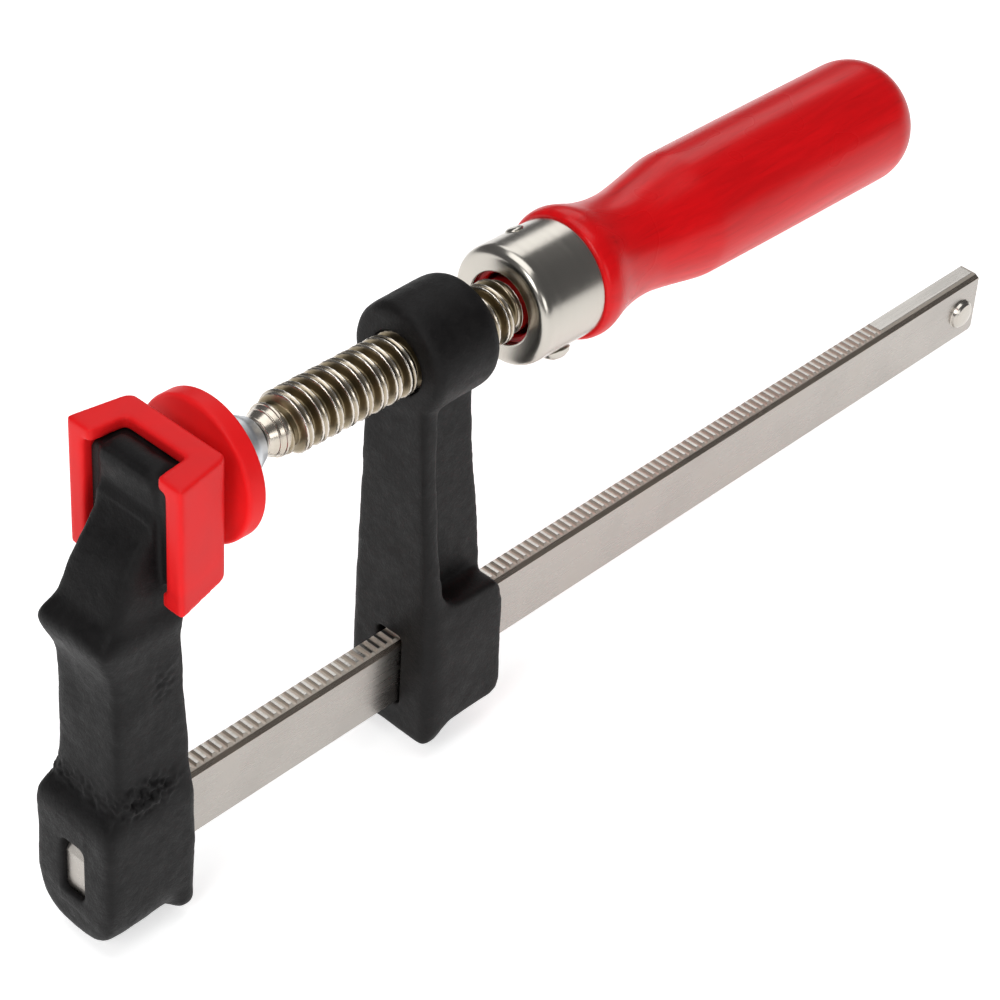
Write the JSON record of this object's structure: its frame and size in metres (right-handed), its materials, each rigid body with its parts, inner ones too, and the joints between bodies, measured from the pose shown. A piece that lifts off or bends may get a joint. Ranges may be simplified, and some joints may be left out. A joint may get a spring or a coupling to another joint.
{
  "type": "f clamp",
  "caption": "Bar clamp with a cast fixed jaw, a cast arm that slides on a serrated steel bar, a screw with a swivel pad, soft jaw caps and a red wooden handle.",
  "frame": {"origin": "centre of the fixed jaw's clamping face", "axes": "+X along the bar from the fixed jaw to its free end, and the way the fixed jaw's face looks; +Z away from the bar, square to it; +Y across the bar"},
  "size_m": [0.2053, 0.0222, 0.0829],
  "materials": {
    "bar_steel": "nickel plated, satin",
    "jaw_iron": "black coated rough casting",
    "arm_iron": "black coated casting, smoother",
    "cap_plastic": "soft red plastic",
    "screw_steel": "nickel plated thread",
    "pad_steel": "zinc plated",
    "ferrule_steel": "polished nickel",
    "handle_wood": "glossy red lacquer"
  },
  "bodies": {
    "rail": {"bar": "bar_steel", "fixed_jaw": "jaw_iron", "fixed_jaw_cap": "cap_plastic"},
    "arm": {"sliding_arm": "arm_iron"},
    "ball": {"swivel_ball": "screw_steel"},
    "screw": {"spindle": "screw_steel", "ferrule": "ferrule_steel", "handle": "handle_wood", "handle_pin": "ferrule_steel"},
    "pad": {"pressure_pad": "pad_steel", "pad_cap": "cap_plastic"}
  },
  "joints": [
    {"name": "arm_slide", "type": "slide", "parent": "rail", "child": "arm", "axis": [1, 0, 0], "range_m": [0, 0.118]},
    {"name": "screw_feed", "type": "slide", "parent": "arm", "child": "ball", "axis": [0.9996, 0, -0.0288], "range_m": [0, 0.0238]},
    {"name": "screw_turn", "type": "hinge", "parent": "ball", "child": "screw", "pos_m": [0.0475, 0, 0], "axis": [0.9996, 0, -0.0288], "range_deg": [0, 3060]},
    {"name": "pad_swivel", "type": "hinge", "parent": "ball", "child": "pad", "pos_m": [0.00862, 0, 0.00112], "axis": [0, 1, 0], "range_deg": [-8, 8]}
  ],
  "couplings": [
    {"joint": "screw_turn", "follows": "screw_feed", "rad_per_m": 2244}
  ]
}
